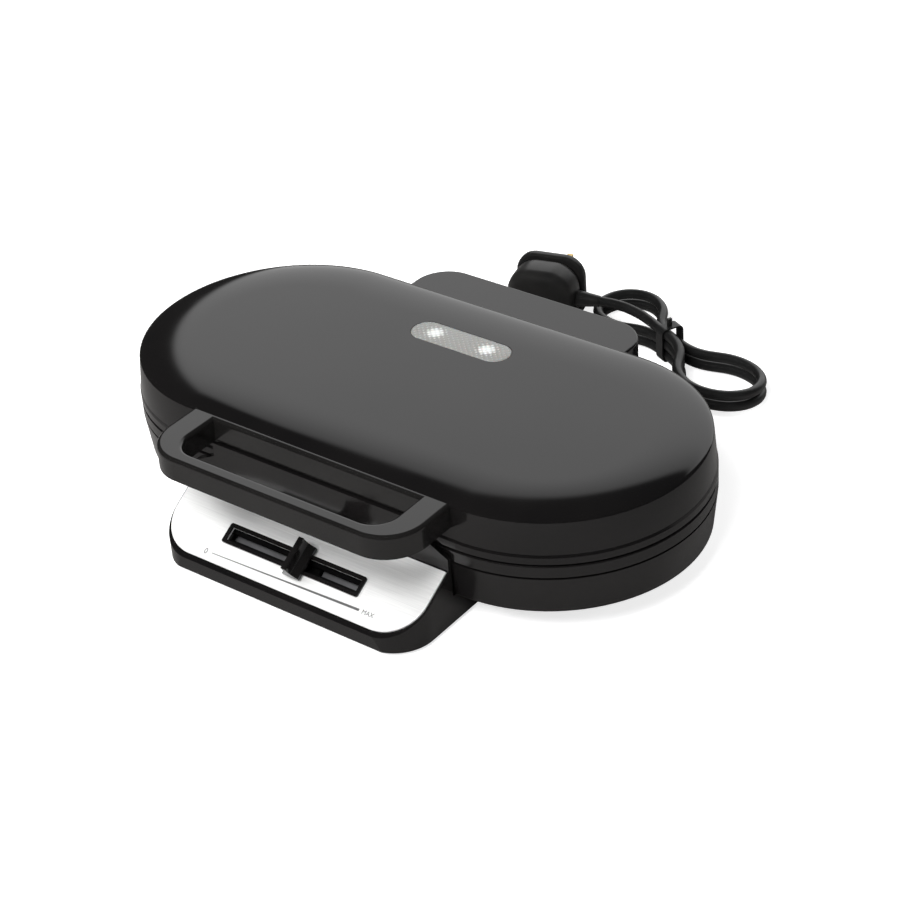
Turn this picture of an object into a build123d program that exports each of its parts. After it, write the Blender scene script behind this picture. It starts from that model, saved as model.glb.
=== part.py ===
"""Double waffle maker: two round waffle beds side by side under one hinged lid.

Millimetres, +Z up, +X to the right along the long body, -Y to the front where the
handle and the browning slider are. The origin lies on the table under the middle of
the body, its control housing and its hinge block.
"""
from build123d import *
from math import cos, hypot, pi, radians, sin, tan
import os

os.makedirs("parts", exist_ok=True)

# Body outline, seen from above: a long shape with round ends
bed_r = 84.0
bed_border = 14.25
beds_apart = 203.5
control_l = 47.75
hinge_block_l = 36.75
end_r = bed_r + bed_border
end_x = beds_apart / 2
front_reach = end_r + control_l
rear_reach = end_r + hinge_block_l
body_y = (front_reach - rear_reach) / 2

# Heights above the table
foot_h = 5.0
skirt_z = 21.0
groove_z = 45.0
groove_w = 1.4
parting_z = 54.0
lid_gap = 1.0
band_h = 6.5
lid_wall_h = 20.8
crown_h = 5.5
lid_base_z = parting_z + lid_gap
crease_z = lid_base_z + band_h
shoulder_z = crease_z + lid_wall_h
lid_top_z = shoulder_z + crown_h

# Walls, fits and drafts
wall = 2.5
deck_t = 2.5
spigot_t = 2.0
spigot_h = 2.9
fit_gap = 0.2
touch_gap = 0.3
skirt_draft = 2.6
lid_draft = 1.8
band_step = 0.6
band_slope_h = 1.5
crown_run = 36.8

# Waffle plates
bed_draft = 4.0
flange_r = bed_r + 6.0
flange_root = 1.0
flange_t = 3.0
bed_depth = 6.5
floor_t = 3.0
peg_side = 9.0
peg_pitch = 15.0
peg_start = 13.0
peg_rows = 5
peg_reach = bed_r - 12.0
divider_w = 5.0
divider_l = 2 * bed_r - 12.0
boss_r = 7.0
tapped_depth = 7.0
element_r = bed_r - 32.0
element_d = 7.0
groove_boss_w = 12.0
groove_boss_h = 6.0
element_gap = 36.0
terminal_r = 2.0
terminal_seal = 1.0
terminal_h = 6.0
terminal_turn = 3.0

# Heat shields
sheet_t = 1.0
shield_r = bed_r + 2.0
shield_drop = 12.5
shield_flange_r = bed_r + 10.2

# Handle
handle_half = 98.0
handle_front = front_reach - 0.5
handle_low_z = 68.5
handle_t = 15.5
handle_corner_r = 27.0
grip_half = 79.0
grip_bar = 10.0
grip_rear = end_r + 0.75
grip_corner_r = 15.0
handle_edge_r = 2.5
handle_hole_l = 17.0

# Control housing on the front
control_half = 98.0
control_rear = end_r - 28.25
control_low_z = 2.5
control_corner_r = 26.0
control_draft = 1.0
plate_front = front_reach - 2.5
plate_front_z = 15.0
plate_slope = 31.0
plate_half = 96.6
plate_top_gap = 0.85
plate_t = 1.2
plate_corner_r = 26.0
apron_rear = end_r + 0.35
apron_t = 2.7
apron_front = apron_rear + apron_t
apron_fit = 1.0
plate_run = (plate_front - apron_front) / cos(radians(plate_slope)) - plate_top_gap
apron_half = 80.0
apron_z = 67.5
apron_end_z = 48.5
apron_mid_z = 58.0

# Browning slider
slot_half = 50.2
slot_w = 8.6
slot_up = 20.8
bezel_w = 2.4
bezel_t = 1.2
bezel_r = 1.5
track_t = 2.0
track_l = 116.0
track_w = 14.6
track_slot_w = 4.0
stem_l = 6.0
stem_w = 3.4
knob_x = 6.0
knob_l = 22.0
knob_w = 12.0
knob_top_w = 3.6
knob_foot_t = 2.0
knob_h = 12.0
carriage_l = 22.0
carriage_w = 13.0
carriage_t = 3.0
slide_gap = 0.3
resistor_w = 12.0
resistor_t = 6.0
resistor_leg = 2.4

# Hinge
hinge_y = rear_reach - 8.0
hinge_z = 60.0
hinge_x = 60.0
cover_half = 85.4
cover_corner_r = 0.65 * hinge_block_l
cover_top_z = 76.7
cover_edge_r = 1.5
ear_t = 3.0
ear_r = 6.0
rib_t = 3.0
rib_r = 5.0
rib_gap = 0.6
pin_r = 2.5
pin_fit = 0.05
pin_head_r = 4.0
pin_head_t = 1.5
notch_z = 66.0
bracket_foot_t = 2.0
bracket_foot_y = end_r + 3.15
bracket_foot_l = 12.0
bracket_foot_w = 16.0
rear_half = 84.0
rear_block_y = rear_reach - 13.0
rear_block_z = 47.5
rear_step_y = rear_reach - 20.0
rear_low_z = 4.0
rear_corner_r = 1.5

# Screws, pillars and feet
screw_r = 1.6
screw_fit = 0.1
screw_head_r = 3.0
screw_head_t = 2.4
handle_screw_l = 15.0
cover_screw_l = 14.0
control_screw_l = 10.0
pillar_r = 4.5
pillar_x = 60.0
pillar_y = end_r - 48.25
shield_boss_h = 3.0
cover_screw_x = 72.0
cover_boss_r = 4.5
cover_boss_l = 9.0
control_screw_x = 70.0
control_screw_z = 28.0
foot_x = end_x + 16.25
foot_y = end_r - 53.25
foot_r = 9.0
foot_edge = 1.0
stud_r = 3.9

# Indicator window and lamps
window_half = 36.9
window_half_w = 10.7
window_y = 46.9
window_proud = 0.3
window_lip = 1.4
lamp_x = 20.0
lamp_r = 3.0
holder_w = 12.0
holder_t = 1.6

# Parts on the underside of the lower heat shield
thermostat_y = 10.0
thermostat_r = 8.5
thermostat_h = 9.0
thermostat_tab_l = 26.0
thermostat_tab_w = 12.0
thermostat_tab_t = 1.2
fuse_x = 30.0
fuse_y = -8.0
fuse_r = 2.5
fuse_l = 14.0
block_x = 34.0
block_y = 58.5
block_l = 38.0
block_w = 16.0
block_h = 12.0
block_bore_r = 2.2
wire_r = 1.2
wire_bend = 4.0
wire_spread = 14.0
sheath_bend = 10.0

# Mains lead: supple, laid in a tied hank behind the body
cord_d = 7.0
cord_z = 4.8
relief_x = 76.0
relief_z = 12.0
relief_l = 20.0
relief_wall_r = 1.0
relief_flange_r = 5.4
relief_flange_t = 2.0
waist_x = 44.0
waist_y = rear_reach + 84.0
waist_turn = -25.0
waist_half = 3.9
waist_run = 8.0
hank_start = 1.3
layer_step = 8.0
right_lobe_r = 27.0
right_lobe_u = 62.0
left_lobe_r = 22.0
left_lobe_u = 52.0
bend_share = 0.45
lead_bends = ((0.5, 36.0, 10.3), (0.0, 54.0, 4.8), (-7.4, 74.3, 4.8), (-19.2, 86.8, 4.8))
plug_lead_bends = ((-20.7, 5.4, 21.2), (-33.5, 7.7, 23.0), (-46.5, 6.5, 24.8))
tie_w = 8.0
tie_t = 1.0
tie_gap = 0.2
tie_corner_r = 3.0
tie_tail_l = 6.0
tie_tail_w = 3.0

# Mains plug, lying on its edge with its pins to the rear
plug_turn = 15.0
plug_x = -53.7
plug_y = rear_reach + 76.8
plug_z = 25.2
plug_l = 50.0
plug_w = 49.0
plug_depth = 34.0
plug_corner_r = 9.0
plug_flange_t = 7.0
plug_inset = 3.0
plug_taper = 8.0
plug_edge_r = 4.0
plug_groove_l = 26.0
plug_groove_w = 1.5
plug_groove_pitch = 5.0
plug_sleeve_l = 15.0
plug_sleeve_r = 6.5
pin_span = 22.2
pin_row = 7.0
earth_pin = (8.0, 4.0, 22.7)
line_pin = (4.0, 6.35, 17.7)
pin_root = 5.0
carrier_l = 9.0
carrier_w = 25.0
carrier_t = 6.0


def level(z):
    """Plane at a height, centred on the body."""
    return Plane((0, body_y, z))


def across(x):
    """Plane across the body at x, with its own x axis to the rear and its y axis up."""
    return Plane((x, body_y, 0), x_dir=(0, 1, 0), z_dir=(1, 0, 0))


def facing(x, y, z, to_rear):
    """Upright plane at a point of the body that looks to the rear (1) or to the front (-1)."""
    return Plane((x, body_y + y, z), x_dir=(1, 0, 0), z_dir=(0, to_rear, 0))


def outline(*points):
    """Fill a closed outline of straight lines."""
    with BuildLine() as loop:
        Polyline(*points, close=True)
    make_face(loop.edges())


def round_body(profile):
    """Run a half section, outward and up, along both sides and round both ends."""
    for side in (1, -1):
        middle = (side * end_x, body_y, 0)
        with BuildSketch(Plane(middle, x_dir=(0, -side, 0), z_dir=(-side, 0, 0))) as section:
            profile()
        extrude(section.sketch, amount=2 * end_x)
        revolve(section.sketch, axis=Axis(middle, (0, 0, 1)), revolution_arc=180)


def side_screw(x, head_y, z, to_rear, length):
    """One level screw with its head's seat at head_y, pointing to the rear or to the front."""
    with BuildSketch(facing(x, head_y, z, -to_rear)) as head:
        Circle(screw_head_r)
    extrude(head.sketch, amount=screw_head_t)
    with BuildSketch(facing(x, head_y, z, to_rear)) as shank:
        Circle(screw_r)
    extrude(shank.sketch, amount=length)


def side_hole(x, y, z, to_rear, length):
    """One level hole that clears such a screw."""
    with BuildSketch(facing(x, y, z, to_rear)) as mouth:
        Circle(screw_r + pin_fit)
    extrude(mouth.sketch, amount=length, mode=Mode.SUBTRACT)


def wire(points, radius, bend):
    """One insulated wire along straight runs with rounded corners."""
    with BuildLine() as run:
        FilletPolyline(*[(x, body_y + y, z) for x, y, z in points], radius=bend)
    with BuildSketch(Plane(origin=run.line @ 0, z_dir=run.line % 0)) as section:
        Circle(radius)
    sweep(section.sketch, path=run.line)


def finish(builder, name):
    """Label a piece and write its file."""
    builder.part.label = name
    export_step(builder.part, f"parts/{name}.step")


def skirt_r(z):
    """Outer radius of the base's wall at a height."""
    return end_r - skirt_draft * (groove_z - z) / (groove_z - skirt_z)


def lid_wall_r(z):
    """Outer radius of the lid's wall at a height."""
    return end_r - band_step - lid_draft * (z - crease_z) / lid_wall_h


# Levels and places that several pieces share
rim_low_z = groove_z + groove_w
lower_seat_z = rim_low_z - spigot_h
upper_seat_z = crease_z + spigot_h
lower_shield_z = lower_seat_z - shield_drop
upper_shield_z = upper_seat_z + shield_drop
shield_under_z = lower_shield_z - sheet_t
upper_shield_top = upper_shield_z + sheet_t
lower_deck_z = parting_z - deck_t
upper_deck_z = lid_base_z + deck_t
handle_screw_x = (handle_half + grip_half) / 2
handle_screw_z = handle_low_z + handle_t / 3
cover_screw_z = (crease_z + cover_top_z) / 2

# Base housing: the tapered outer wall under the groove
with BuildPart() as base_housing:
    round_body(lambda: outline(
        (skirt_r(skirt_z), skirt_z),
        (skirt_r(groove_z), groove_z),
        (skirt_r(groove_z) - wall, groove_z),
        (skirt_r(skirt_z) - wall, skirt_z),
    ))
    for side in (-1, 1):
        side_hole(side * control_screw_x, -end_r, control_screw_z, 1, skirt_draft + 2 * wall)
finish(base_housing, "base_housing")

# Base rim: the band above the groove and the deck round both waffle beds
spigot_out = skirt_r(lower_seat_z) - wall - fit_gap
with BuildPart() as base_rim:
    round_body(lambda: outline(
        (0, lower_deck_z),
        (0, parting_z),
        (end_r - band_step, parting_z),
        (end_r, parting_z - band_step),
        (end_r, rim_low_z),
        (spigot_out, rim_low_z),
        (spigot_out, lower_seat_z),
        (spigot_out - spigot_t, lower_seat_z),
        (spigot_out - spigot_t, lower_deck_z),
    ))
    with BuildSketch(level(lower_deck_z)):
        with Locations((-end_x, 0), (end_x, 0)):
            Circle(bed_r)
    extrude(amount=deck_t, mode=Mode.SUBTRACT)
finish(base_rim, "base_rim")

# Bottom cover: the pan that closes the base, notched for the control housing
pan_flat_r = end_r - 30.0
pan_edge_r = skirt_r(skirt_z)
pan_spigot_r = pan_edge_r - wall - fit_gap
pan_spigot_z = skirt_z + 4.0
with BuildPart() as bottom_cover:
    round_body(lambda: outline(
        (0, foot_h),
        (pan_flat_r, foot_h),
        (pan_edge_r, skirt_z - touch_gap),
        (pan_edge_r, skirt_z),
        (pan_spigot_r, skirt_z),
        (pan_spigot_r, pan_spigot_z),
        (pan_spigot_r - spigot_t, pan_spigot_z),
        (pan_spigot_r - spigot_t, skirt_z),
        (pan_flat_r - wall / 2, foot_h + wall),
        (0, foot_h + wall),
    ))
    with BuildSketch(level(foot_h)):
        with GridLocations(2 * pillar_x, 2 * pillar_y, 2, 2):
            Circle(pillar_r)
    extrude(amount=shield_under_z - foot_h)
    with BuildSketch(level(foot_h)):
        with GridLocations(2 * pillar_x, 2 * pillar_y, 2, 2):
            Circle(screw_r + screw_fit)
    extrude(amount=shield_under_z - foot_h, mode=Mode.SUBTRACT)
    with BuildSketch(level(foot_h)):
        with GridLocations(2 * pillar_x, 2 * pillar_y, 2, 2):
            Circle(screw_head_r + screw_fit)
    extrude(amount=screw_head_t + screw_fit, mode=Mode.SUBTRACT)
    with BuildSketch(level(foot_h)):
        with GridLocations(2 * foot_x, 2 * foot_y, 2, 2):
            Circle(stud_r)
        with Locations((0, fit_gap - control_rear)):
            Rectangle(2 * (control_half + touch_gap), end_r, align=(Align.CENTER, Align.MAX))
    extrude(amount=pan_spigot_z - foot_h, mode=Mode.SUBTRACT)
    with BuildSketch(facing(relief_x, end_r, relief_z, -1)):
        Circle(cord_d / 2 + relief_wall_r)
    extrude(amount=end_r - pan_flat_r, mode=Mode.SUBTRACT)
finish(bottom_cover, "bottom_cover")

with BuildPart() as rubber_feet:
    with BuildSketch(level(0)):
        with GridLocations(2 * foot_x, 2 * foot_y, 2, 2):
            Circle(foot_r)
    extrude(amount=foot_h)
    chamfer(rubber_feet.edges().group_by(Axis.Z)[0], foot_edge)
    with BuildSketch(level(foot_h)):
        with GridLocations(2 * foot_x, 2 * foot_y, 2, 2):
            Circle(stud_r)
    extrude(amount=wall)
finish(rubber_feet, "rubber_feet")

with BuildPart() as bottom_screws:
    with BuildSketch(level(foot_h + screw_fit)):
        with GridLocations(2 * pillar_x, 2 * pillar_y, 2, 2):
            Circle(screw_head_r)
    extrude(amount=screw_head_t)
    with BuildSketch(level(foot_h + screw_fit)):
        with GridLocations(2 * pillar_x, 2 * pillar_y, 2, 2):
            Circle(screw_r)
    extrude(amount=lower_shield_z + shield_boss_h - foot_h - 2 * screw_fit)
finish(bottom_screws, "bottom_screws")

# Waffle plates with their elements, screws and heat shields, the upper set upside down
plate_back = bed_depth + floor_t
element_back = plate_back + groove_boss_h
peg_line = [sign * (peg_start + peg_pitch * k) for sign in (-1, 1) for k in range(peg_rows)]
peg_spots = [(px, py) for px in peg_line for py in peg_line if hypot(px, py) < peg_reach]
coil_start = radians(90 + element_gap / 2)
terminal_start = 90 - element_gap / 2 - terminal_turn
terminal_range = element_gap + 2 * terminal_turn
plate_sets = (
    ("lower", 1, lower_deck_z, lower_seat_z, lower_shield_z),
    ("upper", -1, upper_deck_z, upper_seat_z, upper_shield_z),
)
for set_name, up, deck_z, seat_z, shield_z in plate_sets:
    boss_depth = up * (deck_z - shield_z)
    coil_z = deck_z - up * element_back
    bed_section = (
        (0, bed_depth),
        (bed_r - bed_draft, bed_depth),
        (bed_r, 0),
        (flange_r, 0),
        (flange_r, flange_t),
        (bed_r + flange_root, flange_t),
        (bed_r - flange_root, plate_back),
        (element_r + groove_boss_w / 2, plate_back),
        (element_r + groove_boss_w / 2, element_back),
        (element_r - groove_boss_w / 2, element_back),
        (element_r - groove_boss_w / 2, plate_back),
        (boss_r, plate_back),
        (boss_r, boss_depth),
        (0, boss_depth),
    )
    for side_name, side in (("left", -1), ("right", 1)):
        middle = (side * end_x, body_y, 0)
        turning = Axis(middle, (0, 0, 1))
        radial = Plane(middle, x_dir=(1, 0, 0), z_dir=(0, -1, 0))
        with BuildPart() as waffle_plate:
            with BuildSketch(radial):
                outline(*[(r, deck_z - up * depth) for r, depth in bed_section])
            revolve(axis=turning)
            with BuildSketch(level(deck_z - up * bed_depth)):
                with Locations((side * end_x, 0)):
                    with Locations(*peg_spots):
                        Rectangle(peg_side, peg_side)
                    Rectangle(divider_l, divider_w)
                    Rectangle(divider_w, divider_l)
            extrude(amount=up * bed_depth)
            with BuildSketch(level(shield_z)):
                with Locations((side * end_x, 0)):
                    Circle(screw_r + pin_fit)
            extrude(amount=up * tapped_depth, mode=Mode.SUBTRACT)
            with BuildSketch(radial):
                with Locations((element_r, coil_z)):
                    Circle(element_d / 2 + pin_fit)
            revolve(axis=turning, mode=Mode.SUBTRACT)
        finish(waffle_plate, f"{set_name}_waffle_plate_{side_name}")

        with BuildPart() as heating_element:
            with BuildSketch(Plane(middle, x_dir=(cos(coil_start), sin(coil_start), 0),
                                   z_dir=(sin(coil_start), -cos(coil_start), 0))):
                with Locations((element_r, coil_z)):
                    Circle(element_d / 2)
            revolve(axis=turning, revolution_arc=360 - element_gap)
            with BuildSketch(level(coil_z)):
                with Locations((side * end_x, 0)):
                    with PolarLocations(element_r, 2, terminal_start, terminal_range, endpoint=True):
                        Circle(terminal_r)
            extrude(amount=-up * (element_d / 2 + terminal_h))
        finish(heating_element, f"{set_name}_heating_element_{side_name}")

    with BuildPart() as heat_shield:
        round_body(lambda: outline(
            (0, shield_z),
            (shield_r, shield_z),
            (shield_r, seat_z),
            (shield_flange_r, seat_z),
            (shield_flange_r, seat_z - up * sheet_t),
            (shield_r + sheet_t, seat_z - up * sheet_t),
            (shield_r + sheet_t, shield_z - up * sheet_t),
            (0, shield_z - up * sheet_t),
        ))
        if set_name == "lower":
            with BuildSketch(level(shield_z)):
                with GridLocations(2 * pillar_x, 2 * pillar_y, 2, 2):
                    Circle(screw_head_r)
            extrude(amount=shield_boss_h)
            with BuildSketch(level(shield_under_z)):
                with GridLocations(2 * pillar_x, 2 * pillar_y, 2, 2):
                    Circle(screw_r + pin_fit)
            extrude(amount=sheet_t + shield_boss_h, mode=Mode.SUBTRACT)
        with BuildSketch(level(shield_z)):
            with Locations((-end_x, 0), (end_x, 0)):
                Circle(screw_r + screw_fit)
                with PolarLocations(element_r, 2, terminal_start, terminal_range, endpoint=True):
                    Circle(terminal_r + terminal_seal)
        extrude(amount=-up * sheet_t, mode=Mode.SUBTRACT)
    finish(heat_shield, f"{set_name}_heat_shield")

    with BuildPart() as plate_screws:
        with BuildSketch(level(shield_z - up * sheet_t)):
            with Locations((-end_x, 0), (end_x, 0)):
                Circle(screw_head_r)
        extrude(amount=-up * screw_head_t)
        with BuildSketch(level(shield_z - up * sheet_t)):
            with Locations((-end_x, 0), (end_x, 0)):
                Circle(screw_r)
        extrude(amount=up * (tapped_depth - sheet_t))
    finish(plate_screws, f"{set_name}_plate_screws")

# Inside the base: thermostat, thermal fuse, terminal block and wiring
with BuildPart() as base_thermostat:
    with BuildSketch(level(shield_under_z)):
        with Locations((0, thermostat_y)):
            Circle(thermostat_r)
    extrude(amount=-thermostat_h)
    with BuildSketch(level(shield_under_z)):
        with Locations((0, thermostat_y)):
            RectangleRounded(thermostat_tab_l, thermostat_tab_w, thermostat_tab_w / 3)
    extrude(amount=-thermostat_tab_t)
finish(base_thermostat, "base_thermostat")

fuse_z = shield_under_z - fuse_r
with BuildPart() as thermal_fuse:
    with BuildSketch(Plane((fuse_x, body_y + fuse_y, fuse_z), z_dir=(1, 0, 0))):
        Circle(fuse_r)
    extrude(amount=fuse_l)
finish(thermal_fuse, "thermal_fuse")

block_z = foot_h + wall
with BuildPart() as terminal_block:
    with BuildSketch(level(block_z)):
        with Locations((block_x, block_y)):
            Rectangle(block_l, block_w)
    extrude(amount=block_h)
    with BuildSketch(level(block_z + block_h)):
        with Locations((block_x, block_y)):
            with GridLocations(block_l / 3, 1, 3, 1):
                Circle(block_bore_r)
    extrude(amount=-block_h / 3, mode=Mode.SUBTRACT)
finish(terminal_block, "terminal_block")

block_front = block_y - block_w / 2 - screw_fit
block_wire_z = block_z + block_h / 2
thermostat_wire_z = shield_under_z - thermostat_h / 2
inlet_y = rear_block_y - wall - relief_flange_t - screw_fit
with BuildPart() as base_wiring:
    wire((
        (relief_x, inlet_y, relief_z),
        (relief_x, block_y, relief_z),
        (block_x + block_l / 2 + screw_fit, block_y, relief_z),
    ), cord_d / 2, sheath_bend)
    wire((
        (block_x - wire_spread, block_front, block_wire_z),
        (block_x - wire_spread, thermostat_y, block_wire_z),
        (block_x - wire_spread, thermostat_y, thermostat_wire_z),
        (thermostat_r + screw_fit, thermostat_y, thermostat_wire_z),
    ), wire_r, wire_bend)
    wire((
        (block_x + wire_spread + wire_r, block_front, block_wire_z),
        (block_x + wire_spread + wire_r, fuse_y, block_wire_z),
        (block_x + wire_spread + wire_r, fuse_y, fuse_z),
        (fuse_x + fuse_l + screw_fit, fuse_y, fuse_z),
    ), wire_r, wire_bend)
finish(base_wiring, "base_wiring")

# Rear housing: the fixed lower half of the hinge block
bracket_screw_x = hinge_x - bracket_foot_w / 2
bracket_screw_y = bracket_foot_y + bracket_foot_l / 2
with BuildPart() as rear_housing:
    with BuildSketch(across(-rear_half)):
        outline(
            (skirt_r(skirt_z), rear_low_z),
            (rear_block_y, rear_low_z),
            (rear_block_y, rear_block_z),
            (rear_step_y, rear_block_z),
            (rear_step_y, parting_z),
            (end_r, parting_z),
            (end_r, groove_z),
            (skirt_r(skirt_z), skirt_z),
        )
    extrude(amount=2 * rear_half)
    fillet(rear_housing.edges().filter_by(Axis.Z).group_by(Axis.Y)[-1], rear_corner_r)
    with BuildSketch(across(wall - rear_half)):
        outline(
            (end_r + wall, rear_low_z + wall),
            (rear_block_y - wall, rear_low_z + wall),
            (rear_block_y - wall, rear_block_z - wall),
            (rear_step_y - wall, rear_block_z - wall),
            (rear_step_y - wall, parting_z - wall),
            (end_r + wall, parting_z - wall),
        )
    extrude(amount=2 * (rear_half - wall), mode=Mode.SUBTRACT)
    with BuildSketch(facing(relief_x, rear_block_y, relief_z, -1)):
        Circle(cord_d / 2 + relief_wall_r)
    extrude(amount=rear_block_y - skirt_r(skirt_z), mode=Mode.SUBTRACT)
    with BuildSketch(level(parting_z)):
        with Locations((-bracket_screw_x, bracket_screw_y), (bracket_screw_x, bracket_screw_y)):
            Circle(screw_r + pin_fit)
    extrude(amount=-wall, mode=Mode.SUBTRACT)
finish(rear_housing, "rear_housing")

# Hinge: steel ears on the rear housing and headed pins in the lid's ribs
rib_reach = ear_t / 2 + rib_gap + rib_t
for side_name, side in (("left", -1), ("right", 1)):
    with BuildPart() as hinge_bracket:
        with BuildSketch(across(side * hinge_x - ear_t / 2)):
            outline(
                (bracket_foot_y, parting_z),
                (bracket_foot_y + bracket_foot_l, parting_z),
                (hinge_y, hinge_z - ear_r),
                (hinge_y, hinge_z + ear_r),
                (bracket_foot_y, parting_z + ear_r),
            )
            with Locations((hinge_y, hinge_z)):
                Circle(ear_r)
                Circle(pin_r + pin_fit, mode=Mode.SUBTRACT)
        extrude(amount=ear_t)
        with BuildSketch(level(parting_z)):
            with Locations((side * bracket_screw_x, bracket_screw_y)):
                Rectangle(bracket_foot_w, bracket_foot_l)
                Circle(screw_r + screw_fit, mode=Mode.SUBTRACT)
        extrude(amount=bracket_foot_t)
    finish(hinge_bracket, f"hinge_bracket_{side_name}")

    with BuildPart() as hinge_pin:
        with BuildSketch(across(side * hinge_x - rib_reach)):
            with Locations((hinge_y, hinge_z)):
                Circle(pin_r)
        extrude(amount=2 * rib_reach)
        with BuildSketch(across(side * hinge_x + rib_reach)):
            with Locations((hinge_y, hinge_z)):
                Circle(pin_head_r)
        extrude(amount=pin_head_t)
    finish(hinge_pin, f"hinge_pin_{side_name}")

with BuildPart() as bracket_screws:
    for side in (-1, 1):
        with BuildSketch(level(parting_z + bracket_foot_t)):
            with Locations((side * bracket_screw_x, bracket_screw_y)):
                Circle(screw_head_r)
        extrude(amount=screw_head_t)
        with BuildSketch(level(parting_z + bracket_foot_t)):
            with Locations((side * bracket_screw_x, bracket_screw_y)):
                Circle(screw_r)
        extrude(amount=-3 * wall)
finish(bracket_screws, "bracket_screws")

# Strain relief: a collar clamped in the wall and a tapered sleeve behind it
cord_hole_r = cord_d / 2 + relief_wall_r
with BuildPart() as strain_relief:
    with BuildSketch(facing(relief_x, rear_block_y - wall - relief_flange_t, relief_z, 1)):
        Circle(relief_flange_r)
    extrude(amount=relief_flange_t)
    with BuildSketch(facing(relief_x, rear_block_y - wall, relief_z, 1)):
        Circle(cord_hole_r)
    extrude(amount=wall)
    with BuildSketch(facing(relief_x, rear_block_y, relief_z, 1)):
        Circle(relief_flange_r)
    extrude(amount=relief_flange_t)
    with BuildSketch(facing(relief_x, rear_block_y + relief_flange_t, relief_z, 1)):
        Circle(relief_flange_r)
    with BuildSketch(facing(relief_x, rear_block_y + relief_l, relief_z, 1)):
        Circle(cord_hole_r)
    loft()
finish(strain_relief, "strain_relief")

# Control housing: sloping front box with an apron that stands up before the lid
slope = radians(plate_slope)
bed_y = plate_t * sin(slope) - plate_front
bed_z = plate_front_z - plate_t * cos(slope)
bed_plane = Plane((0, body_y + bed_y, bed_z), x_dir=(1, 0, 0), z_dir=(0, -sin(slope), cos(slope)))


def slope_z(y, drop=0.0):
    """Height of the sloping face at y, lowered by a drop square to it."""
    return bed_z + (y - bed_y) * tan(slope) - drop / cos(slope)


hollow_rear = apron_front + apron_fit
with BuildPart() as control_hollow:
    with BuildSketch(level(control_low_z + wall)):
        with Locations((0, -control_rear - wall)):
            Rectangle(2 * (control_half - wall), front_reach - control_rear - 2 * wall,
                      align=(Align.CENTER, Align.MAX))
        fillet(vertices().group_by(Axis.Y)[0], control_corner_r - wall)
    extrude(amount=apron_z)
    with BuildSketch(across(-control_half)):
        outline(
            (-control_rear, control_low_z),
            (-front_reach, control_low_z),
            (-front_reach, slope_z(-front_reach, wall)),
            (-hollow_rear, slope_z(-hollow_rear, wall)),
            (-hollow_rear, skirt_z),
            (-control_rear, skirt_z),
        )
    extrude(amount=2 * control_half, mode=Mode.INTERSECT)

with BuildPart() as control_housing:
    with BuildSketch(level(control_low_z)):
        with Locations((0, -control_rear)):
            Rectangle(2 * control_half, front_reach - control_rear, align=(Align.CENTER, Align.MAX))
        fillet(vertices().group_by(Axis.Y)[0], control_corner_r)
    extrude(amount=apron_z - control_low_z)
    with BuildSketch(across(-control_half)):
        outline(
            (-control_rear, control_low_z),
            (control_draft - front_reach, control_low_z),
            (-front_reach, slope_z(-front_reach)),
            (-apron_front, slope_z(-apron_front)),
            (-apron_front, apron_z),
            (-apron_rear, apron_z),
            (-apron_rear, skirt_z),
            (-control_rear, skirt_z),
        )
    extrude(amount=2 * control_half, mode=Mode.INTERSECT)
    with BuildSketch(facing(0, 0, 0, -1)):
        outline(
            (-control_half, control_low_z),
            (control_half, control_low_z),
            (control_half, apron_end_z),
            (apron_half, apron_mid_z),
            (apron_half, apron_z),
            (-apron_half, apron_z),
            (-apron_half, apron_mid_z),
            (-control_half, apron_end_z),
        )
    extrude(amount=front_reach, mode=Mode.INTERSECT)
    add(control_hollow.part, mode=Mode.SUBTRACT)
    with BuildSketch(bed_plane):
        with Locations((0, slot_up)):
            Rectangle(2 * slot_half, slot_w)
    extrude(amount=-2 * wall, mode=Mode.SUBTRACT)
    for side in (-1, 1):
        side_hole(side * control_screw_x, -apron_rear, control_screw_z, -1, hollow_rear - apron_rear)
finish(control_housing, "control_housing")

control_screw_y = skirt_r(control_screw_z) - wall - touch_gap
with BuildPart() as control_screws:
    for side in (-1, 1):
        side_screw(side * control_screw_x, -control_screw_y, control_screw_z, -1, control_screw_l)
finish(control_screws, "control_screws")

with BuildPart() as control_faceplate:
    with BuildSketch(bed_plane):
        Rectangle(2 * plate_half, plate_run, align=(Align.CENTER, Align.MIN))
        fillet(vertices().group_by(Axis.Y)[0], plate_corner_r)
        with Locations((0, slot_up)):
            Rectangle(2 * slot_half, slot_w, mode=Mode.SUBTRACT)
    extrude(amount=plate_t)
finish(control_faceplate, "control_faceplate")

# Browning slider: bezel, guide track, slide resistor, carriage and knob
with BuildPart() as slider_bezel:
    with BuildSketch(bed_plane.offset(plate_t)):
        with Locations((0, slot_up)):
            RectangleRounded(2 * (slot_half + bezel_w), slot_w + 2 * bezel_w, bezel_r)
            Rectangle(2 * slot_half, slot_w, mode=Mode.SUBTRACT)
    extrude(amount=bezel_t)
finish(slider_bezel, "slider_bezel")

with BuildPart() as slider_track:
    with BuildSketch(bed_plane.offset(-wall)):
        with Locations((0, slot_up)):
            Rectangle(track_l, track_w)
            Rectangle(2 * slot_half, track_slot_w, mode=Mode.SUBTRACT)
    extrude(amount=-track_t)
finish(slider_track, "slider_track")

carriage_top = -wall - track_t - slide_gap
resistor_top = carriage_top - carriage_t - slide_gap
with BuildPart() as slide_resistor:
    with BuildSketch(bed_plane.offset(resistor_top)):
        with Locations((0, slot_up)):
            Rectangle(track_l, resistor_w)
    extrude(amount=-resistor_t)
    with BuildSketch(bed_plane.offset(resistor_top)):
        with Locations((0, slot_up)):
            with GridLocations(track_l - resistor_leg, 1, 2, 1):
                Rectangle(resistor_leg, resistor_w)
    extrude(amount=carriage_t + 2 * slide_gap)
finish(slide_resistor, "slide_resistor")

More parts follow.
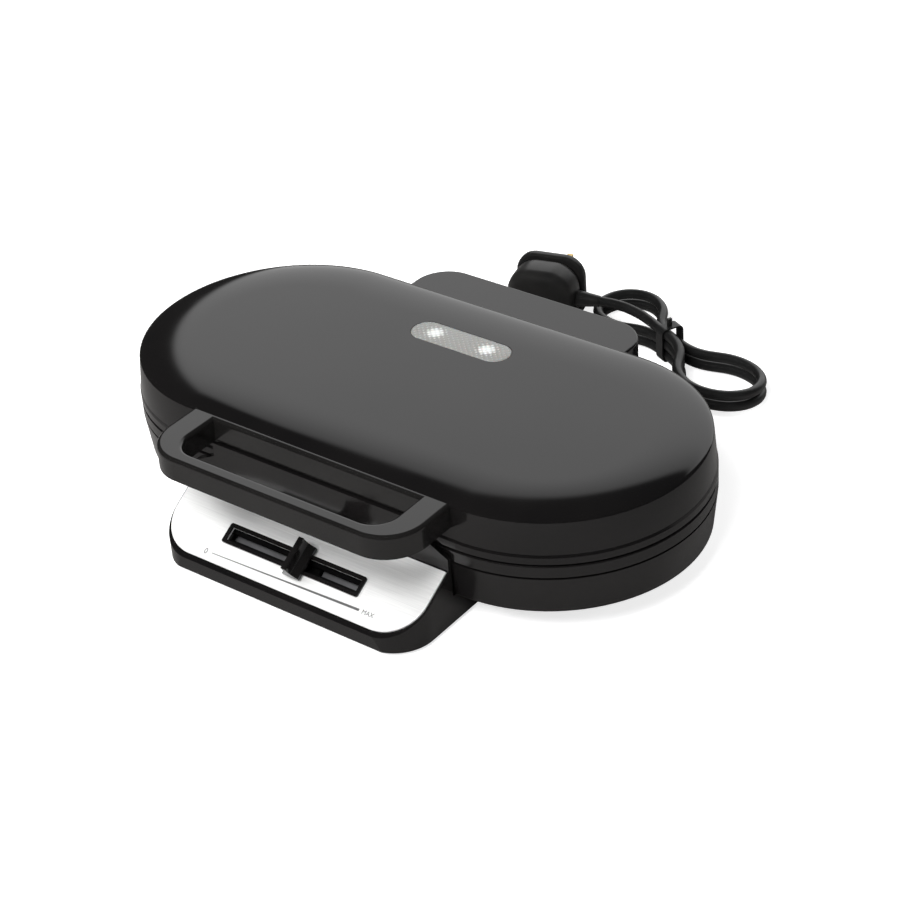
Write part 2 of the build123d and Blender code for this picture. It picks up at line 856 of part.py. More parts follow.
knob_low = plate_t + bezel_t + slide_gap
with BuildPart() as slider_carriage:
    with BuildSketch(bed_plane.offset(carriage_top)):
        with Locations((knob_x, slot_up)):
            Rectangle(carriage_l, carriage_w)
    extrude(amount=-carriage_t)
    with BuildSketch(bed_plane.offset(carriage_top)):
        with Locations((knob_x, slot_up)):
            Rectangle(stem_l, stem_w)
    extrude(amount=knob_low - carriage_top)
finish(slider_carriage, "slider_carriage")

knob_foot = bed_plane.from_local_coords((knob_x, slot_up - knob_l / 2, knob_low))
with BuildPart() as slider_knob:
    with BuildSketch(Plane(knob_foot, x_dir=(1, 0, 0), z_dir=-bed_plane.y_dir)):
        with BuildLine():
            ThreePointArc((-knob_w / 2, knob_foot_t), (-knob_w / 5, knob_h / 2), (-knob_top_w / 2, knob_h))
            Line((-knob_top_w / 2, knob_h), (knob_top_w / 2, knob_h))
            ThreePointArc((knob_top_w / 2, knob_h), (knob_w / 5, knob_h / 2), (knob_w / 2, knob_foot_t))
            Polyline((knob_w / 2, knob_foot_t), (knob_w / 2, 0), (-knob_w / 2, 0), (-knob_w / 2, knob_foot_t))
        make_face()
    extrude(amount=-knob_l)
finish(slider_knob, "slider_knob")

# Lid housing: near upright wall, tight shoulder and a shallow crown
shoulder_r = lid_wall_r(shoulder_z)
crown_r = shoulder_r - crown_run


def lid_section():
    """Half section of the lid's shell."""
    with BuildLine() as loop:
        Line((0, lid_top_z), (crown_r, lid_top_z))
        EllipticalCenterArc((crown_r, shoulder_z), crown_run, crown_h, start_angle=0, arc_size=90)
        Polyline(
            (shoulder_r, shoulder_z),
            (lid_wall_r(crease_z), crease_z),
            (lid_wall_r(crease_z) - wall, crease_z),
            (shoulder_r - wall, shoulder_z),
        )
        EllipticalCenterArc((crown_r, shoulder_z), crown_run - wall, crown_h - wall, start_angle=0, arc_size=90)
        Polyline((crown_r, lid_top_z - wall), (0, lid_top_z - wall), (0, lid_top_z))
    make_face(loop.edges())


with BuildPart() as lid_housing:
    round_body(lid_section)
    with BuildSketch(level(lid_top_z)):
        with Locations((0, window_y)):
            SlotOverall(2 * (window_half + fit_gap), 2 * (window_half_w + fit_gap))
    extrude(amount=-wall, mode=Mode.SUBTRACT)
    for side in (-1, 1):
        side_hole(side * handle_screw_x, -end_r, handle_screw_z, 1, 3 * wall)
        side_hole(side * cover_screw_x, end_r, cover_screw_z, -1, 3 * wall)
finish(lid_housing, "lid_housing")

# Lid rim: the band at the parting line and the deck round the upper beds
lid_spigot_out = lid_wall_r(upper_seat_z) - wall - fit_gap
with BuildPart() as lid_rim:
    round_body(lambda: outline(
        (0, upper_deck_z),
        (0, lid_base_z),
        (end_r - band_step, lid_base_z),
        (end_r, lid_base_z + band_step),
        (end_r, crease_z - band_slope_h),
        (end_r - band_step, crease_z),
        (lid_spigot_out, crease_z),
        (lid_spigot_out, upper_seat_z),
        (lid_spigot_out - spigot_t, upper_seat_z),
        (lid_spigot_out - spigot_t, upper_deck_z),
    ))
    with BuildSketch(level(lid_base_z)):
        with Locations((-end_x, 0), (end_x, 0)):
            Circle(bed_r)
    extrude(amount=deck_t, mode=Mode.SUBTRACT)
finish(lid_rim, "lid_rim")

# Indicator window with its two lamps, their holder and the lid's wiring
with BuildPart() as indicator_window:
    with BuildSketch(level(lid_top_z + window_proud)):
        with Locations((0, window_y)):
            SlotOverall(2 * window_half, 2 * window_half_w)
    extrude(amount=-wall - window_proud)
    with BuildSketch(level(lid_top_z - wall)):
        with Locations((0, window_y)):
            SlotOverall(2 * (window_half + window_lip), 2 * (window_half_w + window_lip))
    extrude(amount=-sheet_t)
finish(indicator_window, "indicator_window")

lamp_low = upper_shield_top + holder_t
for lamp_name, side in (("power_lamp", -1), ("ready_lamp", 1)):
    with BuildPart() as lamp:
        with BuildSketch(level(lamp_low)):
            with Locations((side * lamp_x, window_y)):
                Circle(lamp_r)
        extrude(amount=lid_top_z - wall - sheet_t - touch_gap - lamp_low)
    finish(lamp, lamp_name)

with BuildPart() as lamp_holder:
    with BuildSketch(level(upper_shield_top)):
        with Locations((0, window_y)):
            Rectangle(4 * lamp_x, holder_w)
    extrude(amount=holder_t)
finish(lamp_holder, "lamp_holder")

lid_wire_z = upper_shield_top + wire_r + screw_fit
terminal_x = end_x - element_r * sin(radians(element_gap / 2 + terminal_turn))
terminal_y = element_r * cos(radians(element_gap / 2 + terminal_turn))
with BuildPart() as lid_wiring:
    for side in (-1, 1):
        wire((
            (side * (2 * lamp_x + screw_fit), window_y, lid_wire_z),
            (side * (terminal_x - wire_spread), window_y, lid_wire_z),
            (side * (terminal_x - terminal_r - screw_fit), terminal_y, lid_wire_z),
        ), wire_r, wire_bend)
finish(lid_wiring, "lid_wiring")

# Handle: a closed loop level with the lid's shoulder
handle_top_z = handle_low_z + handle_t
with BuildPart() as handle_frame:
    with BuildSketch(level(handle_low_z)):
        with Locations((0, -handle_front)):
            Rectangle(2 * handle_half, handle_front - shoulder_r, align=(Align.CENTER, Align.MIN))
        fillet(vertices().group_by(Axis.Y)[0], handle_corner_r)
        with Locations((0, -grip_rear)):
            Rectangle(2 * grip_half, handle_front - grip_bar - grip_rear, align=(Align.CENTER, Align.MAX),
                      mode=Mode.SUBTRACT)
    extrude(amount=handle_t)
    with BuildSketch(across(-handle_half)):
        outline(
            (-lid_wall_r(handle_low_z), handle_low_z),
            (-shoulder_r, shoulder_z),
            (-shoulder_r, handle_top_z),
            (-handle_front, handle_top_z),
            (-handle_front, handle_low_z),
        )
    extrude(amount=2 * handle_half, mode=Mode.INTERSECT)
    grip_front = body_y + grip_bar - handle_front
    fillet(handle_frame.edges().filter_by(Axis.Z).filter_by_position(Axis.Y, grip_front - 1, grip_front + 1),
           grip_corner_r)
    top_edges = handle_frame.edges().group_by(Axis.Z)[-1]
    fillet(top_edges.filter_by_position(Axis.Y, -handle_front, body_y - shoulder_r - 1), handle_edge_r)
    for side in (-1, 1):
        side_hole(side * handle_screw_x, wall - end_r, handle_screw_z, -1, handle_hole_l)
finish(handle_frame, "handle_frame")

handle_screw_y = lid_wall_r(handle_screw_z) - wall - touch_gap
with BuildPart() as handle_screws:
    for side in (-1, 1):
        side_screw(side * handle_screw_x, -handle_screw_y, handle_screw_z, -1, handle_screw_l)
finish(handle_screws, "handle_screws")

# Hinge cover: the moving upper half of the hinge block
with BuildPart() as hinge_cover:
    with BuildSketch(level(lid_base_z)):
        with Locations((0, shoulder_r)):
            Rectangle(2 * cover_half, rear_reach - shoulder_r, align=(Align.CENTER, Align.MIN))
        fillet(vertices().group_by(Axis.Y)[-1], cover_corner_r)
    extrude(amount=cover_top_z - lid_base_z)
    with BuildSketch(across(-cover_half)):
        outline(
            (end_r, lid_base_z),
            (end_r, crease_z - band_slope_h),
            (lid_wall_r(crease_z), crease_z),
            (lid_wall_r(cover_top_z), cover_top_z),
            (rear_reach, cover_top_z),
            (rear_reach, lid_base_z),
        )
    extrude(amount=2 * cover_half, mode=Mode.INTERSECT)
    fillet(hinge_cover.edges().group_by(Axis.Z)[-1].sort_by(Axis.Y)[1:], cover_edge_r)
    with BuildSketch(level(lid_base_z)):
        with Locations((0, end_r + wall)):
            Rectangle(2 * (cover_half - wall), rear_reach - end_r - 2 * wall, align=(Align.CENTER, Align.MIN))
        fillet(vertices().group_by(Axis.Y)[-1], cover_corner_r - wall)
    extrude(amount=cover_top_z - wall - lid_base_z, mode=Mode.SUBTRACT)
    for side in (-1, 1):
        with BuildSketch(across(side * hinge_x - rib_reach)):
            outline(
                (hinge_y - rib_r, hinge_z),
                (rear_reach - wall / 2, hinge_z),
                (rear_reach - wall / 2, cover_top_z - wall / 2),
                (hinge_y - rib_r, cover_top_z - wall / 2),
            )
            with Locations((hinge_y, hinge_z)):
                Circle(rib_r)
        extrude(amount=2 * rib_reach)
        with BuildSketch(across(side * hinge_x - ear_t / 2 - rib_gap)):
            with Locations((rear_reach, lid_base_z)):
                Rectangle(2 * wall, 2 * (notch_z - lid_base_z))
            with Locations((hinge_y, lid_base_z)):
                Rectangle(2 * (rear_reach - hinge_y), 2 * (cover_top_z - wall - lid_base_z))
        extrude(amount=ear_t + 2 * rib_gap, mode=Mode.SUBTRACT)
        with BuildSketch(across(side * hinge_x - rib_reach)):
            with Locations((hinge_y, hinge_z)):
                Circle(pin_r + pin_fit)
        extrude(amount=2 * rib_reach, mode=Mode.SUBTRACT)
        with BuildSketch(facing(side * cover_screw_x, end_r, cover_screw_z, 1)):
            Circle(cover_boss_r)
        extrude(amount=wall + cover_boss_l)
        side_hole(side * cover_screw_x, shoulder_r, cover_screw_z, 1, cover_screw_l)
finish(hinge_cover, "hinge_cover")

cover_screw_y = lid_wall_r(cover_screw_z) - wall - touch_gap
with BuildPart() as cover_screws:
    for side in (-1, 1):
        side_screw(side * cover_screw_x, cover_screw_y, cover_screw_z, 1, cover_screw_l)
finish(cover_screws, "cover_screws")

# Hank: three crossings of the waist in two layers of loops, tied in the middle
waist_angle = radians(waist_turn)
along = Vector(cos(waist_angle), sin(waist_angle), 0)
beside = Vector(-sin(waist_angle), cos(waist_angle), 0)


def lay(u, v, layer):
    """Point of the hank at u along it and v behind its middle line, on a layer above the table."""
    height = cord_z + layer * layer_step
    return Vector(waist_x, body_y + waist_y, height) + along * u + beside * v


def swing(start, end, heading):
    """Two arcs that leave start and reach end along the same heading."""
    first = TangentArc(start, (start + end) / 2, tangent=heading)
    TangentArc((start + end) / 2, end, tangent=first % 1)


def lobe(side, reach, radius, low, high):
    """One loop: from the waist out to the side, half a turn, and back to the waist."""
    turn_r = hypot(radius, (high - low) * layer_step / 2)
    out = lay(side * reach, side * radius, low)
    back = lay(side * reach, -side * radius, high)
    swing(lay(side * waist_run, side * waist_half, low), out, along * side)
    ThreePointArc(out, lay(side * (reach + turn_r), 0, (low + high) / 2), back)
    swing(back, lay(side * waist_run, -side * waist_half, high), along * -side)


def cross(side, layer, start=-waist_run):
    """One straight strand through the waist, out towards a side."""
    Line(lay(side * start, side * waist_half, layer), lay(side * waist_run, side * waist_half, layer))


def tube(path):
    """Cord of one diameter along a path."""
    with BuildSketch(Plane(origin=path @ 0, z_dir=path % 0)) as section:
        Circle(cord_d / 2)
    sweep(section.sketch, path=path)


def easy_bends(points):
    """Bend radius at each inner corner, as large as the shorter run beside it allows."""
    radii = []
    for before, corner, after in zip(points, points[1:], points[2:]):
        turn = radians((corner - before).get_angle(after - corner))
        run = min((corner - before).length, (after - corner).length)
        radii.append(bend_share * run / tan(turn / 2))
    return radii


with BuildPart() as cord_hank:
    with BuildLine() as hank_line:
        cross(-1, 0, hank_start)
        lobe(-1, left_lobe_u, left_lobe_r, 0, 0)
        cross(1, 0)
        lobe(1, right_lobe_u, right_lobe_r, 0, 1)
        cross(-1, 1)
        lobe(-1, left_lobe_u, left_lobe_r, 1, 1)
        cross(1, 1)
        lobe(1, right_lobe_u, right_lobe_r, 1, 2)
        cross(-1, 2)
    tube(hank_line.wire())
finish(cord_hank, "cord_hank")

# Lead from the strain relief to the hank, and from the hank to the plug
cord_area = pi * cord_d ** 2 / 4
plug_angle = radians(plug_turn)
plug_axis = Vector(cos(plug_angle), sin(plug_angle), 0)
pin_axis = Vector(-sin(plug_angle), cos(plug_angle), 0)
plug_middle = Vector(plug_x, body_y + plug_y, plug_z)
lead_points = [
    Vector(relief_x, body_y + rear_block_y + relief_l + 2 * touch_gap, relief_z),
    *(Vector(relief_x + x, body_y + rear_block_y + y, z) for x, y, z in lead_bends),
    lay(-hank_start, -waist_half, 0),
]
plug_points = [
    lay(-waist_run, -waist_half, 2),
    *(Vector(waist_x + x, body_y + waist_y + y, z) for x, y, z in plug_lead_bends),
    plug_middle + plug_axis * (plug_l / 2 + plug_sleeve_l),
]
for name, points in (("power_cord", lead_points), ("plug_lead", plug_points)):
    radii = easy_bends(points)
    with BuildPart() as lead:
        with BuildLine() as lead_line:
            FilletPolyline(*points, radius=radii)
        tube(lead_line.wire())
    finish(lead, name)
    lead_length = lead_line.wire().length
    print(name, "length", round(lead_length, 1), "bend radii", [round(r) for r in radii],
          "volume / section x length", round(lead.part.volume / (cord_area * lead_length), 4))

# Check of the hank: its length, its volume and its least distance to itself
hank_path = hank_line.wire()
hank_length = hank_path.length
steps = int(hank_length / 2)
spots = [hank_path @ (k / steps) for k in range(steps + 1)]
skip = int(3 * cord_d / 2) + 1
least = min((spots[i] - spots[j]).length for i in range(len(spots)) for j in range(i + skip, len(spots)))
print("hank length", round(hank_length, 1), "least gap to itself", round(least - cord_d, 2),
      "volume / section x length", round(cord_hank.part.volume / (cord_area * hank_length), 4))

# Tie round the waist of the hank
tie_low = cord_z - cord_d / 2 - tie_gap
tie_high = cord_z + 2 * layer_step + cord_d / 2 + tie_gap
tie_half = waist_half + cord_d / 2 + tie_gap
tie_start = Vector(waist_x, body_y + waist_y, (tie_low + tie_high) / 2) - along * (tie_w / 2)
with BuildPart() as cord_tie:
    with BuildSketch(Plane(tie_start, x_dir=beside, z_dir=along)):
        RectangleRounded(2 * (tie_half + tie_t), tie_high - tie_low + 2 * tie_t, tie_corner_r + tie_t)
        RectangleRounded(2 * tie_half, tie_high - tie_low, tie_corner_r, mode=Mode.SUBTRACT)
    extrude(amount=tie_w)
    with BuildSketch(Plane(lay(0, 0, 0) + Vector(0, 0, tie_high + tie_t / 2 - cord_z), x_dir=along)):
        Rectangle(tie_w / 4, tie_tail_w)
    extrude(amount=tie_tail_l)
finish(cord_tie, "cord_tie")


def plug_plane(depth, to_pins=1):
    """Plane square to the plug's pins, a depth from the plug's middle towards them."""
    return Plane(plug_middle + pin_axis * depth, x_dir=plug_axis, z_dir=pin_axis * to_pins)


# Plug: flange with the pins' face, domed grip and cord sleeve
flange_depth = plug_depth / 2 - plug_flange_t
pin_spots = (
    (pin_row - pin_span, 0, earth_pin),
    (pin_row, pin_span / 2, line_pin),
    (pin_row, -pin_span / 2, line_pin),
)
with BuildPart() as plug_body:
    with BuildSketch(plug_plane(flange_depth)):
        RectangleRounded(plug_l, plug_w, plug_corner_r)
    extrude(amount=plug_flange_t)
    with BuildSketch(plug_plane(flange_depth, -1)):
        RectangleRounded(plug_l - 2 * plug_inset, plug_w - 2 * plug_inset, plug_corner_r)
    extrude(amount=plug_depth - plug_flange_t, taper=plug_taper)
    fillet(plug_body.edges().group_by(Axis(plug_middle, pin_axis))[0], plug_edge_r)
    with BuildSketch(plug_plane(-plug_depth / 2)):
        with GridLocations(plug_groove_pitch, 1, 5, 1):
            Rectangle(plug_groove_w, plug_groove_l)
    extrude(amount=1.0, mode=Mode.SUBTRACT)
    with BuildSketch(Plane(plug_middle + plug_axis * (plug_l / 2 - 2 * plug_inset), z_dir=plug_axis)):
        Circle(plug_sleeve_r)
    with BuildSketch(Plane(plug_middle + plug_axis * (plug_l / 2 + plug_sleeve_l), z_dir=plug_axis)):
        Circle(cord_hole_r)
    loft()
    for along_plug, over_plug, (pin_l, pin_w, pin_h) in pin_spots:
        with BuildSketch(plug_plane(plug_depth / 2, -1)):
            with Locations((along_plug, over_plug)):
                Rectangle(pin_l, pin_w)
        extrude(amount=pin_root, mode=Mode.SUBTRACT)
    with BuildSketch(plug_plane(plug_depth / 2, -1)):
        with Locations((pin_row - pin_span / 2, 0)):
            Rectangle(carrier_l + 2 * screw_fit, carrier_w + 2 * screw_fit)
    extrude(amount=carrier_t, mode=Mode.SUBTRACT)
finish(plug_body, "plug_body")

with BuildPart() as plug_pins:
    for along_plug, over_plug, (pin_l, pin_w, pin_h) in pin_spots:
        with BuildSketch(plug_plane(plug_depth / 2 - pin_root)):
            with Locations((along_plug, over_plug)):
                Rectangle(pin_l, pin_w)
        extrude(amount=pin_root + pin_h)
finish(plug_pins, "plug_pins")

with BuildPart() as plug_fuse_carrier:
    with BuildSketch(plug_plane(plug_depth / 2 - carrier_t)):
        with Locations((pin_row - pin_span / 2, 0)):
            Rectangle(carrier_l, carrier_w)
    extrude(amount=carrier_t + touch_gap)
finish(plug_fuse_carrier, "plug_fuse_carrier")
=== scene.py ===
# %% [markdown]
# A double waffle maker in gloss black plastic, seen from its front right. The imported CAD
# model gives every rigid piece its place. This script gives each its surface, and it models
# again the pieces whose looks a plain solid misses: the moulded lid, the frosted window, the
# tied mains lead and the plug. It also adds the scale that is printed on the steel.
#
# Lengths are metres in the model's own frame. The camera comes first, so that every later
# piece can be judged against the photograph.

# %% Frame, camera
import bpy
from math import atan2, cos, pi, radians, sin
from mathutils import Matrix, Vector


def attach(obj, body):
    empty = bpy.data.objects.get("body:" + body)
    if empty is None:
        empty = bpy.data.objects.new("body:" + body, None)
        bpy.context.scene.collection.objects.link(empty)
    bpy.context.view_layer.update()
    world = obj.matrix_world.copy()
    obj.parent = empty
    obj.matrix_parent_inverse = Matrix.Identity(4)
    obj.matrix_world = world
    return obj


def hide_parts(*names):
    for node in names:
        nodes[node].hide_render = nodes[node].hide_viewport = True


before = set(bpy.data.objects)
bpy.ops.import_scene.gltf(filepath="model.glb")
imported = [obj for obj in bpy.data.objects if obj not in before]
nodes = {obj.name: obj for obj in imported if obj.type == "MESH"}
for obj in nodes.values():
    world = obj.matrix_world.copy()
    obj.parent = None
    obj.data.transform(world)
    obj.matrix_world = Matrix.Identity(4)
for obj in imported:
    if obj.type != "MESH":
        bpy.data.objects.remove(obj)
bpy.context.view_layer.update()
MM = 0.001
body_y = 5.5 * MM

azimuth = radians(39.22)
elevation = radians(33.4)
roll = radians(-4.22)
camera_away = 1.45925
camera_lens = 94.64
film_width = 36
near_limit = 0.05
to_camera = Vector((sin(azimuth) * cos(elevation), -cos(azimuth) * cos(elevation), sin(elevation)))
level_right = Vector((cos(azimuth), sin(azimuth), 0))
level_up = to_camera.cross(level_right)
right = level_right * cos(roll) + level_up * sin(roll)
above = level_up * cos(roll) - level_right * sin(roll)
target = Vector((26.12 * MM, -3.74 * MM + body_y, 44 * MM))
camera_data = bpy.data.cameras.new("camera")
camera_data.lens = camera_lens
camera_data.sensor_width = film_width
camera_data.clip_start = near_limit
camera = bpy.data.objects.new("camera", camera_data)
place = Matrix((right, above, to_camera)).transposed().to_4x4()
place.translation = target + to_camera * camera_away
camera.matrix_world = place
bpy.context.scene.collection.objects.link(camera)
bpy.context.scene.camera = camera
print("camera at", [round(c, 4) for c in place.translation])

# %% [markdown]
# An operator acts on all that is selected, and the loaded nodes are selected at first. So two
# helpers clear the selection before a new piece is added or changed.

# %% Helpers for mesh work
def deselect():
    """Leaves nothing selected."""
    for o in bpy.context.selected_objects:
        o.select_set(False)


def pick(obj):
    """Makes one object the only selected and the active one."""
    deselect()
    obj.select_set(True)
    bpy.context.view_layer.objects.active = obj


# %% [markdown]
# Each finish mixes two close colours and two roughnesses through noise in object space,
# because a real moulding, casting or sheet never has one even tone. The node trees are short,
# so a few helpers carry them.

# %% Helpers for node trees
ramp_low = 0.3
ramp_high = 0.7
grain_height = 0.0002


def set_up(name):
    """A new node material with its tree and its shader."""
    mat = bpy.data.materials.new(name)
    mat.use_nodes = True
    tree = mat.node_tree
    return mat, tree, tree.nodes["Principled BSDF"]


def link(tree, a, b):
    """Joins an output to an input."""
    tree.links.new(a, b)


def noise(tree, scale, detail=3.0, stretch=(1, 1, 1)):
    """Noise in object space, stretched along the axes."""
    coords = tree.nodes.new("ShaderNodeTexCoord")
    mapping = tree.nodes.new("ShaderNodeMapping")
    mapping.inputs["Scale"].default_value = stretch
    texture = tree.nodes.new("ShaderNodeTexNoise")
    texture.inputs["Scale"].default_value = scale
    texture.inputs["Detail"].default_value = detail
    link(tree, coords.outputs["Object"], mapping.inputs["Vector"])
    link(tree, mapping.outputs["Vector"], texture.inputs["Vector"])
    return texture.outputs["Fac"]


def between(tree, fac, low, high):
    """A number that runs from low to high with fac."""
    node = tree.nodes.new("ShaderNodeMapRange")
    node.inputs["From Min"].default_value = ramp_low
    node.inputs["From Max"].default_value = ramp_high
    node.inputs["To Min"].default_value = low
    node.inputs["To Max"].default_value = high
    link(tree, fac, node.inputs["Value"])
    return node.outputs["Result"]


def colours(tree, fac, low, high):
    """A colour that runs from low to high with fac."""
    ramp = tree.nodes.new("ShaderNodeValToRGB")
    ramp.color_ramp.elements[0].position = ramp_low
    ramp.color_ramp.elements[1].position = ramp_high
    ramp.color_ramp.elements[0].color = (*low, 1)
    ramp.color_ramp.elements[1].color = (*high, 1)
    link(tree, fac, ramp.inputs["Fac"])
    return ramp.outputs["Color"]


def bump(tree, shader, height, strength, distance):
    """Bump on a shader from a height."""
    node = tree.nodes.new("ShaderNodeBump")
    node.inputs["Strength"].default_value = strength
    node.inputs["Distance"].default_value = distance
    link(tree, height, node.inputs["Height"])
    link(tree, node.outputs["Normal"], shader.inputs["Normal"])


def finish(name, low, high, rough, metal=0.0, scale=60.0, grain=0.0, grain_scale=900.0):
    """One finish: two colours, two roughnesses and a fine grain."""
    mat, tree, shader = set_up(name)
    soft = noise(tree, scale)
    link(tree, colours(tree, soft, low, high), shader.inputs["Base Color"])
    link(tree, between(tree, soft, *rough), shader.inputs["Roughness"])
    shader.inputs["Metallic"].default_value = metal
    if grain:
        bump(tree, shader, noise(tree, grain_scale), grain, grain_height)
    return mat


# %% [markdown]
# The body is glossy black plastic with almost no colour of its own, so what shows is the room.
# The lid and the control box are polished hardest and the base a little less. The lower pan
# and the plug are satin, and the plates have the dull grey-black of a baked non-stick coat.

# %% Finishes
gloss_black = finish("gloss_black", (0.0035, 0.0033, 0.0034), (0.0055, 0.005, 0.005),
                     (0.07, 0.12), scale=14)
base_black = finish("base_black", (0.0045, 0.0042, 0.0042), (0.0065, 0.006, 0.006),
                    (0.13, 0.19), scale=20, grain=0.04)
satin_black = finish("satin_black", (0.008, 0.008, 0.008), (0.013, 0.0125, 0.012),
                     (0.32, 0.4), grain=0.12)
handle_black = finish("handle_black", (0.006, 0.0057, 0.0055), (0.009, 0.0086, 0.0083),
                      (0.12, 0.18), scale=24)
# The slider track and its carriage are black plastic, made darker still and almost without sheen as
# painted shade in the slot.
track_black_and_shade = finish("track_black_and_shade", (0.002, 0.002, 0.002), (0.003, 0.003, 0.003), (0.75, 0.85))
track_black_and_shade.node_tree.nodes["Principled BSDF"].inputs["Specular IOR Level"].default_value = 0.1
rubber = finish("rubber", (0.01, 0.01, 0.01), (0.018, 0.018, 0.018), (0.7, 0.8), grain=0.2)
sheath = finish("sheath", (0.006, 0.006, 0.006), (0.01, 0.01, 0.01), (0.3, 0.42), grain=0.1)
coat = finish("non_stick_coat", (0.045, 0.045, 0.046), (0.065, 0.064, 0.064),
              (0.38, 0.5), metal=0.3, grain=0.3)
pressed = finish("pressed_steel", (0.38, 0.38, 0.39), (0.52, 0.52, 0.52), (0.3, 0.42), metal=1.0)
sheathed = finish("element_steel", (0.1, 0.09, 0.085), (0.2, 0.17, 0.15), (0.4, 0.5), metal=1.0)
brass = finish("brass", (0.6, 0.42, 0.17), (0.75, 0.56, 0.26), (0.2, 0.32), metal=1.0)
inner_grey = finish("inner_grey", (0.05, 0.05, 0.052), (0.08, 0.08, 0.083), (0.5, 0.6), grain=0.1)
ceramic = finish("ceramic", (0.62, 0.6, 0.54), (0.75, 0.73, 0.68), (0.45, 0.6))
braid = finish("braid", (0.5, 0.47, 0.4), (0.68, 0.65, 0.58), (0.7, 0.85), scale=500)
print("finishes", len(bpy.data.materials))

# %% [markdown]
# The faceplate is stainless sheet brushed along the long way. Brushing shows as fine streaks
# that are many times longer than wide, so the noise is stretched along x.

# %% Brushed steel
brushed, tree, shader = set_up("brushed_steel")
streaks = noise(tree, scale=60.0, detail=6.0, stretch=(0.6, 30, 30))
link(tree, colours(tree, streaks, (0.82, 0.82, 0.815), (0.93, 0.93, 0.92)), shader.inputs["Base Color"])
link(tree, between(tree, streaks, 0.32, 0.44), shader.inputs["Roughness"])
shader.inputs["Metallic"].default_value = 0.4
bump(tree, shader, streaks, strength=0.08, distance=0.0001)
print("brushed steel nodes", len(tree.nodes))

# %% [markdown]
# The frosted window is moulded with small prisms on its inside, so the lamps behind it show
# as two soft spots. Two crossed waves give the prisms, and a glow painted into the pane's
# colour falls off round each lamp.

# %% Frosted window
window_y = 46.9 * MM + body_y
window_centre = Vector((0, window_y, 88 * MM))
lamp_x = 20 * MM
glow_reach = 11 * MM
glow_peak = 0.62
prism_scale = 110
prism_share = 0.5
frosted, tree, shader = set_up("frosted_window")
coords = tree.nodes.new("ShaderNodeTexCoord")
prisms = []
for turn in (45, -45):
    mapping = tree.nodes.new("ShaderNodeMapping")
    mapping.inputs["Rotation"].default_value[2] = radians(turn)
    wave = tree.nodes.new("ShaderNodeTexWave")
    wave.wave_profile = "TRI"
    wave.inputs["Scale"].default_value = prism_scale
    link(tree, coords.outputs["Object"], mapping.inputs["Vector"])
    link(tree, mapping.outputs["Vector"], wave.inputs["Vector"])
    prisms.append(wave.outputs["Fac"])
crossed = tree.nodes.new("ShaderNodeMath")
crossed.operation = "MULTIPLY"
link(tree, prisms[0], crossed.inputs[0])
link(tree, prisms[1], crossed.inputs[1])
glow = []
for side in (-1, 1):
    away = tree.nodes.new("ShaderNodeVectorMath")
    away.operation = "DISTANCE"
    away.inputs[1].default_value = window_centre + Vector((side * lamp_x, 0, 0))
    link(tree, coords.outputs["Object"], away.inputs[0])
    fall = tree.nodes.new("ShaderNodeMapRange")
    fall.interpolation_type = "SMOOTHERSTEP"
    fall.inputs["From Min"].default_value = 0
    fall.inputs["From Max"].default_value = glow_reach
    fall.inputs["To Min"].default_value = glow_peak
    fall.inputs["To Max"].default_value = 0
    link(tree, away.outputs["Value"], fall.inputs["Value"])
    glow.append(fall.outputs["Result"])
both = tree.nodes.new("ShaderNodeMath")
both.operation = "MAXIMUM"
link(tree, glow[0], both.inputs[0])
link(tree, glow[1], both.inputs[1])
mixed = tree.nodes.new("ShaderNodeMath")
mixed.operation = "MULTIPLY_ADD"
mixed.inputs[1].default_value = prism_share
link(tree, crossed.outputs["Value"], mixed.inputs[0])
link(tree, both.outputs["Value"], mixed.inputs[2])
# The pane's colour carries the prisms and the painted glow round the two lamps.
prisms_and_painted_glow = colours(tree, mixed.outputs["Value"], (0.24, 0.235, 0.225), (0.72, 0.71, 0.69))
link(tree, prisms_and_painted_glow, shader.inputs["Base Color"])
shader.inputs["Roughness"].default_value = 0.3
shader.inputs["Subsurface Weight"].default_value = 0.1
bump(tree, shader, crossed.outputs["Value"], strength=0.5, distance=0.0006)
print("window nodes", len(tree.nodes))

# %% [markdown]
# Every CAD node gets its finish here, also those inside, so that an opened lid shows coated
# plates and a steel shield instead of bare solids.

# %% Finishes on the CAD nodes
groups = (
    (gloss_black, ("lid_housing", "lid_rim", "hinge_cover", "control_housing")),
    (base_black, ("base_housing", "base_rim", "rear_housing", "slider_bezel", "slider_knob")),
    (track_black_and_shade, ("slider_track", "slider_carriage")),
    (satin_black, ("bottom_cover", "strain_relief", "plug_body")),
    (handle_black, ("handle_frame",)),
    (rubber, ("rubber_feet",)),
    (sheath, ("power_cord", "cord_hank", "plug_lead", "cord_tie")),
    (inner_grey, ("slide_resistor", "terminal_block", "lamp_holder", "plug_fuse_carrier")),
    (ceramic, ("base_thermostat", "thermal_fuse", "power_lamp", "ready_lamp")),
    (braid, ("base_wiring", "lid_wiring")),
    (brass, ("plug_pins",)),
    (brushed, ("control_faceplate",)),
    (frosted, ("indicator_window",)),
)
given = {}
for mat, names in groups:
    for name in names:
        given[name] = mat
for name, node in nodes.items():
    if "waffle_plate" in name:
        given[name] = coat
    elif "heating_element" in name:
        given[name] = sheathed
    elif name not in given:
        given[name] = pressed
    node.data.materials.clear()
    node.data.materials.append(given[name])
print("CAD nodes with a finish", len(given))

# %% [markdown]
# The lid is one moulding. A ring is pulled up the wall, over the shoulder and inwards, and
# then its two halves are moved apart to the round ends, which makes the long sides straight.
# The inside follows a wall's thickness away, and the window is cut last.

# %% Lid shell
end_r = 98.25 * MM
end_x = 101.75 * MM
wall_t = 2.5 * MM
crease_z = 61.5 * MM
shoulder_z = 82.3 * MM
top_z = 87.8 * MM
crown_run = 36.8 * MM
wall_low_r = end_r - 0.6 * MM
wall_high_r = wall_low_r - 1.8 * MM
edge_break = 0.3 * MM
soft_angle = radians(30)


